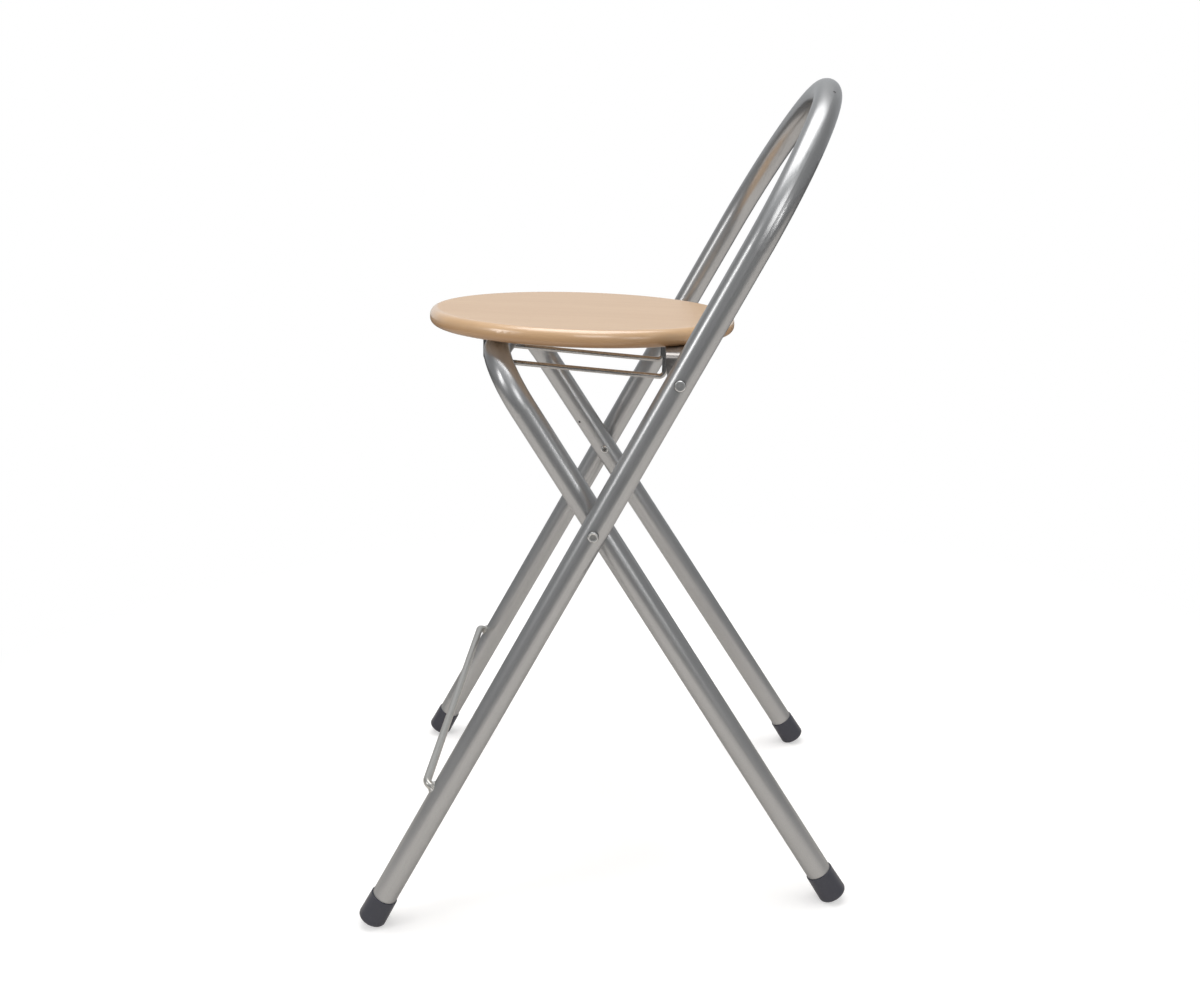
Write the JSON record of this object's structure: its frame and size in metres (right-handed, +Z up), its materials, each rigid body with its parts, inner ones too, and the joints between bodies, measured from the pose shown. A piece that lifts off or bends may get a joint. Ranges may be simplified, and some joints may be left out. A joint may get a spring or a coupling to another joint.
{
  "type": "folding bar stool",
  "caption": "Folding bar stool: a splayed hoop-backed tube frame and a leg frame cross on rivets, with a round wooden seat, a rod footrest and capped feet.",
  "frame": {"origin": "on the floor, under the middle of the stool's outline when it stands open", "axes": "+Z up, +X to the right of a sitter, +Y towards the back hoop; the stool is mirrored across the plane X = 0"},
  "size_m": [0.4326, 0.4834, 0.7737],
  "materials": {
    "frame_paint": "silver-grey metallic paint, satin",
    "footrest_paint": "silver-grey metallic paint, satin",
    "plated_steel": "bright plated",
    "wire_chrome": "bright chrome",
    "spacer_plastic": "moulded, matte",
    "foot_plastic": "moulded dark grey, matte",
    "seat_wood": "lacquered beech tone"
  },
  "bodies": {
    "hoop_frame_body": {"footrest_rod": "footrest_paint", "footrest_welds": "frame_paint", "front_foot_cap_left": "foot_plastic", "front_foot_cap_right": "foot_plastic", "hoop_frame": "frame_paint", "leg_pivot_rivet_left": "plated_steel", "leg_pivot_rivet_right": "plated_steel", "leg_pivot_spacer_left": "spacer_plastic", "leg_pivot_spacer_right": "spacer_plastic", "seat_hinge_rivet_left": "plated_steel", "seat_hinge_rivet_right": "plated_steel", "seat_hinge_spacer_left": "spacer_plastic", "seat_hinge_spacer_right": "spacer_plastic"},
    "leg_frame_body": {"leg_frame": "frame_paint", "rear_foot_cap_left": "foot_plastic", "rear_foot_cap_right": "foot_plastic"},
    "seat_body": {"bracket_screws": "plated_steel", "seat_bracket_left": "plated_steel", "seat_bracket_right": "plated_steel", "seat_guide_wire_left": "wire_chrome", "seat_guide_wire_right": "wire_chrome", "seat_panel": "seat_wood"}
  },
  "joints": [
    {"name": "leg_fold", "type": "hinge", "parent": "hoop_frame_body", "child": "leg_frame_body", "pos_m": [0, 0.00443, 0.3966], "axis": [-1, 0, 0], "range_deg": [0, 42]},
    {"name": "seat_fold", "type": "hinge", "parent": "hoop_frame_body", "child": "seat_body", "pos_m": [0, 0.08283, 0.52682], "axis": [-1, 0, 0], "range_deg": [0, 31.1]}
  ],
  "couplings": [
    {"joint": "seat_fold", "follows": "leg_fold", "ratio": 0.74}
  ]
}
